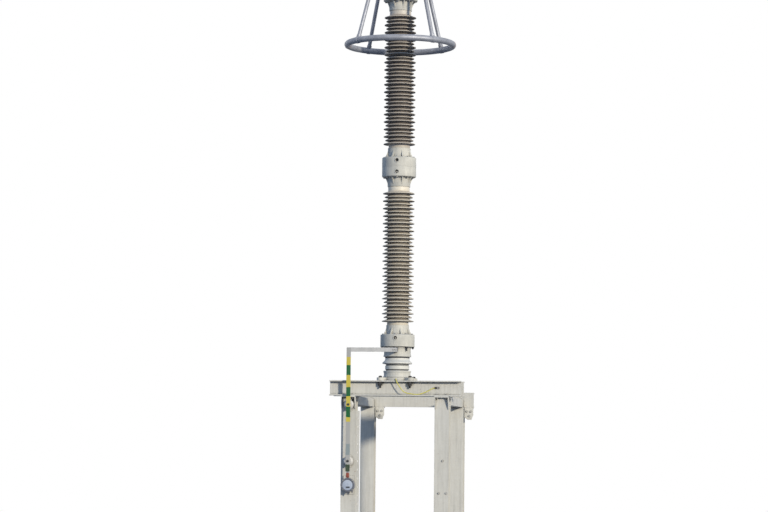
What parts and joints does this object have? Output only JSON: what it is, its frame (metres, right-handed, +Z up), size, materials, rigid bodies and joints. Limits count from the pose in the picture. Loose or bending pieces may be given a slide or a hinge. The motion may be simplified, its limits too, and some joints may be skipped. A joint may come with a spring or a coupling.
{
  "type": "station surge arrester on steel support",
  "caption": "Tall station surge arrester with shedded porcelain units, a suspended grading ring and an insulating base, standing on a four-legged steel support.",
  "frame": {"origin": "ground level, in the middle of the anchor bolts of the four base plates", "axes": "+Z up along the column, -Y towards the side with the earth bar and the surge counter, +X to the right seen from that side"},
  "size_m": [1.55, 2.332, 7.29],
  "materials": {
    "support_steel": "weathered zinc grey, matt",
    "cast_metal": "sand-cast, dull",
    "porcelain": "grey-brown glaze, glossy",
    "base_ceramic": "pale grey glaze, satin",
    "bright_metal": "drawn tube, satin",
    "bar_paint": "yellow and green stripes",
    "standoff_resin": "cream, satin",
    "counter_paint": "dark grey, satin",
    "dial": "pale blue, glossy"
  },
  "bodies": {
    "root": {"post_front_left": "support_steel", "post_front_right": "support_steel", "post_back_left": "support_steel", "post_back_right": "support_steel", "side_beam_left": "support_steel", "side_beam_right": "support_steel", "beam_front": "support_steel", "beam_rear": "support_steel", "beam_back": "support_steel", "bracket_left": "support_steel", "bracket_right": "support_steel", "foot_plate": "cast_metal", "collar_low": "cast_metal", "base_insulator": "base_ceramic", "collar_high": "cast_metal", "lower_foot_casting": "cast_metal", "lower_housing": "porcelain", "lower_head_casting": "cast_metal", "upper_foot_casting": "cast_metal", "upper_housing": "porcelain", "upper_head_casting": "cast_metal", "top_plate": "cast_metal", "line_terminal": "bright_metal", "grading_ring": "bright_metal", "ring_rod_front_left": "bright_metal", "ring_rod_front_right": "bright_metal", "ring_rod_back_left": "bright_metal", "ring_rod_back_right": "bright_metal", "earth_bar_across": "bright_metal", "earth_bar_down": "bar_paint", "bar_lug": "bright_metal", "strap_high": "support_steel", "strap_low": "support_steel", "standoff_high": "standoff_resin", "standoff_low": "standoff_resin", "counter_strap": "support_steel", "counter_case": "counter_paint", "counter_dial": "dial", "counter_lead": "bright_metal", "cable_strut": "support_steel"}
  },
  "joints": []
}
